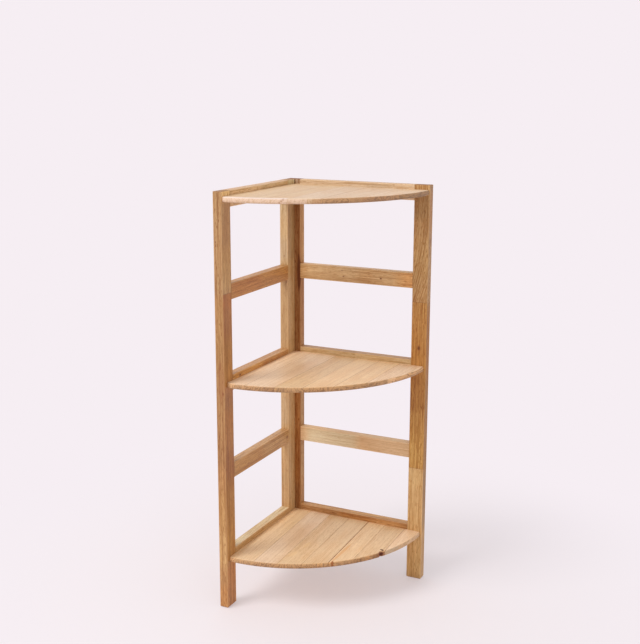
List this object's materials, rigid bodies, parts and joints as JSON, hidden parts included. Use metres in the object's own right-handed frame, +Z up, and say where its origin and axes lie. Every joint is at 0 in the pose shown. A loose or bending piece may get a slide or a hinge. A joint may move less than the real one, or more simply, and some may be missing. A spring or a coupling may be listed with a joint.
{
  "type": "corner rack",
  "caption": "Free-standing wooden corner rack: ladder side frames at a right angle carry quarter-round glued shelves, with a low rail lip behind each shelf.",
  "frame": {"origin": "centre of the rack's bounding box, on the floor", "axes": "+Z up; +X along the right frame, away from the back corner; +Y towards the right frame; the left frame runs along -Y from the back corner"},
  "size_m": [0.3426, 0.3356, 0.9],
  "materials": {
    "frame_wood": "clear satin lacquer",
    "shelf_wood": "clear satin lacquer",
    "dowel_wood": "raw",
    "screw_steel": "zinc plated"
  },
  "bodies": {
    "root": {"left_front_leg_lower": "frame_wood", "left_front_leg_upper": "frame_wood", "right_front_leg_lower": "frame_wood", "right_front_leg_middle": "frame_wood", "right_front_leg_upper": "frame_wood", "left_back_post": "frame_wood", "right_back_post": "frame_wood", "left_bottom_rail": "frame_wood", "left_lower_brace": "frame_wood", "left_middle_rail": "frame_wood", "left_upper_brace": "frame_wood", "left_top_rail": "frame_wood", "right_bottom_rail": "frame_wood", "right_lower_brace": "frame_wood", "right_middle_rail": "frame_wood", "right_upper_brace": "frame_wood", "right_top_rail": "frame_wood", "bottom_shelf_board_1": "shelf_wood", "bottom_shelf_board_2": "shelf_wood", "bottom_shelf_board_3": "shelf_wood", "bottom_shelf_board_4": "shelf_wood", "bottom_shelf_board_5": "shelf_wood", "bottom_shelf_board_6": "shelf_wood", "bottom_shelf_board_7": "shelf_wood", "middle_shelf_board_1": "shelf_wood", "middle_shelf_board_2": "shelf_wood", "middle_shelf_board_3": "shelf_wood", "middle_shelf_board_4": "shelf_wood", "middle_shelf_board_5": "shelf_wood", "middle_shelf_board_6": "shelf_wood", "top_shelf_board_1": "shelf_wood", "top_shelf_board_2": "shelf_wood", "top_shelf_board_3": "shelf_wood", "top_shelf_board_4": "shelf_wood", "top_shelf_board_5": "shelf_wood", "top_shelf_board_6": "shelf_wood", "left_frame_dowels": "dowel_wood", "right_frame_dowels": "dowel_wood", "left_shelf_screws": "screw_steel", "right_shelf_screws": "screw_steel", "corner_screws": "screw_steel"}
  },
  "joints": []
}
